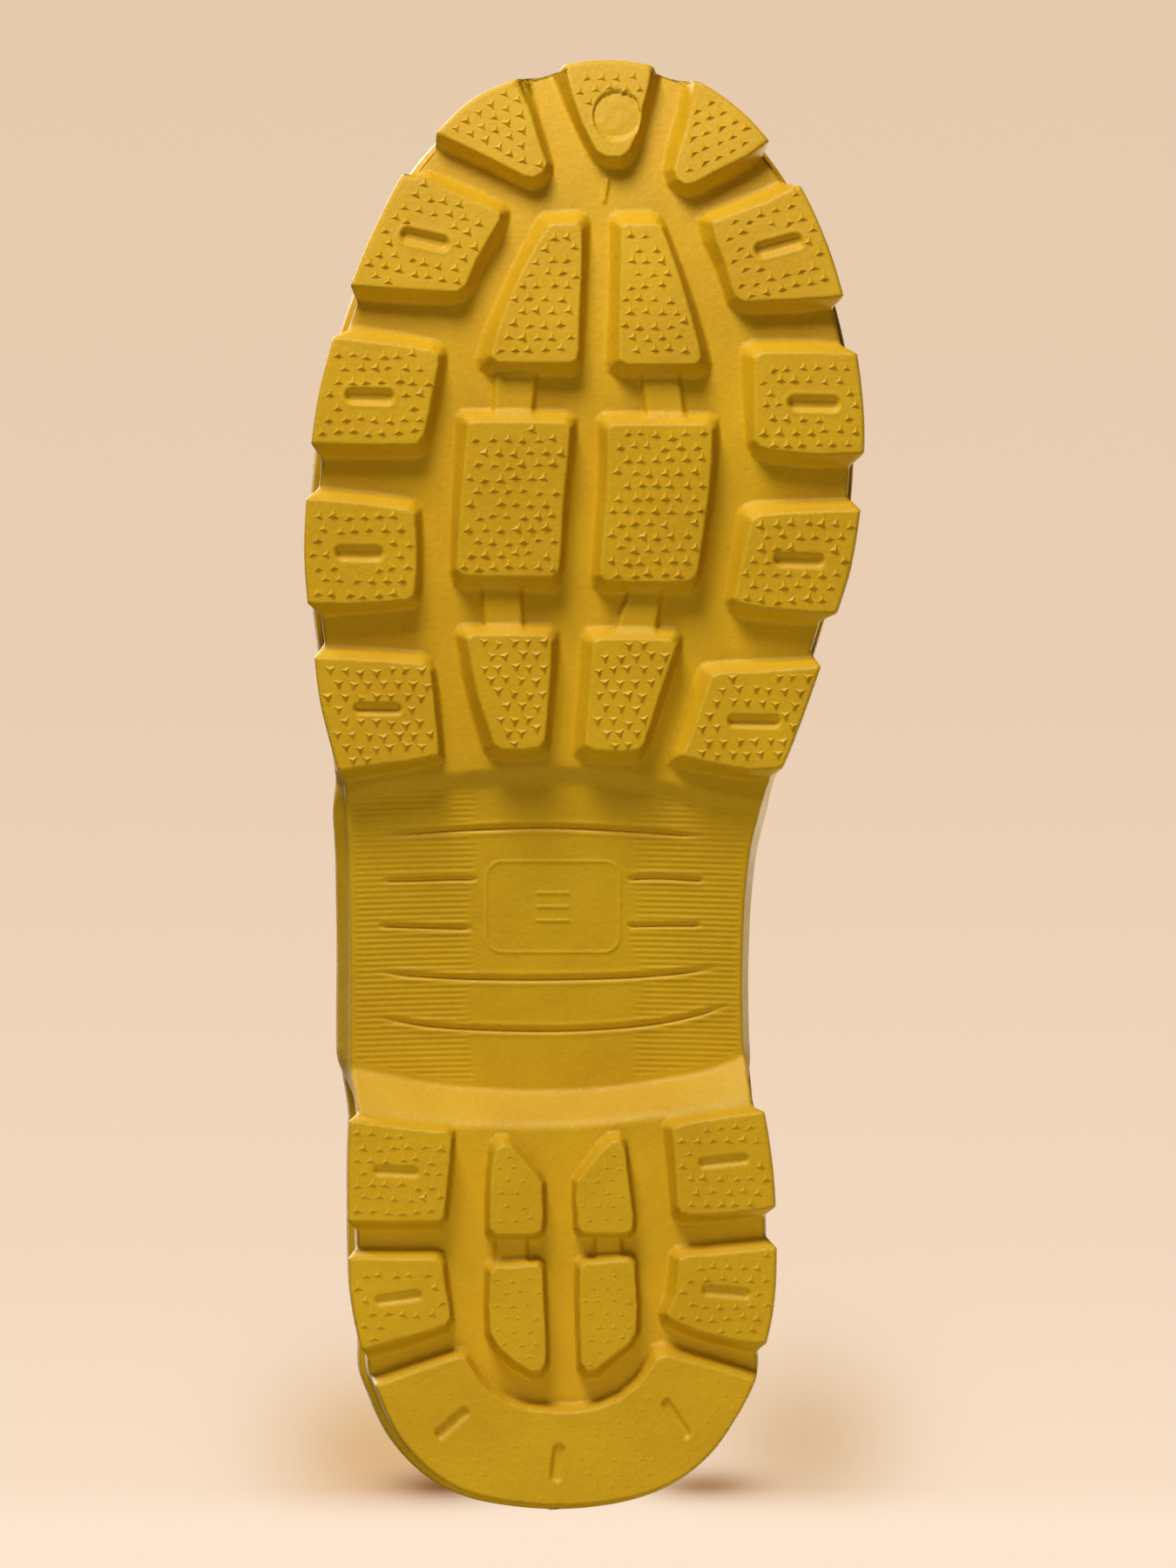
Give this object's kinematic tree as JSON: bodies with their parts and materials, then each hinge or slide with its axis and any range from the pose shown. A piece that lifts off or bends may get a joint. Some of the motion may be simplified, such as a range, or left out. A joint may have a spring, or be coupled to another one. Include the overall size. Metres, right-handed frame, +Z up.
{
  "type": "deck boot",
  "caption": "Ankle-high moulded rubber deck boot for a right foot, with a lugged outsole, ribbed rand, elastic side gussets and webbing pull loops.",
  "frame": {"origin": "middle of the bounding box, on the ground under the tread", "axes": "+Z up, toe along -Y, heel along +Y, inner side of the right foot along +X"},
  "size_m": [0.1054, 0.2734, 0.1956],
  "materials": {
    "rubber_yellow": "satin moulded rubber",
    "elastic_yellow": "ribbed woven elastic",
    "webbing": "woven webbing",
    "textile_lining": "brushed knit",
    "bed_textile": "mesh textile",
    "foam": "closed-cell foam",
    "board": "pressed fibre board",
    "stiffener": "thermoplastic sheet",
    "steel": "spring steel strip"
  },
  "bodies": {
    "boot": {"outsole": "rubber_yellow", "foxing_band": "rubber_yellow", "upper_shell": "rubber_yellow", "toe_cap": "rubber_yellow", "heel_counter_cover": "rubber_yellow", "backstay": "rubber_yellow", "collar_binding": "rubber_yellow", "gusset_lateral": "elastic_yellow", "gusset_medial": "elastic_yellow", "front_loop_anchor": "webbing", "rear_loop_anchor": "webbing", "lining": "textile_lining", "collar_padding": "textile_lining", "heel_filler": "foam", "insole_board": "board", "toe_puff": "stiffener", "heel_stiffener": "stiffener", "shank": "steel"},
    "footbed": {"footbed_foam": "foam", "footbed_cover": "bed_textile"},
    "front_loop": {"front_loop": "webbing"},
    "rear_loop": {"rear_loop": "webbing"}
  },
  "joints": [
    {"name": "front_loop_fold", "type": "hinge", "parent": "boot", "child": "front_loop", "pos_m": [0.00075, 0.0004, 0.1668], "axis": [1, 0, 0], "range_deg": [-60, 60], "stiffness_Nm_per_rad": 0.01},
    {"name": "rear_loop_fold", "type": "hinge", "parent": "boot", "child": "rear_loop", "pos_m": [0.00075, 0.1231, 0.1668], "axis": [1, 0, 0], "range_deg": [-60, 60], "stiffness_Nm_per_rad": 0.01},
    {"name": "footbed_lift", "type": "hinge", "parent": "boot", "child": "footbed", "pos_m": [0.0045, -0.1225, 0.0225], "axis": [1, 0, 0], "range_deg": [0, 5]}
  ]
}
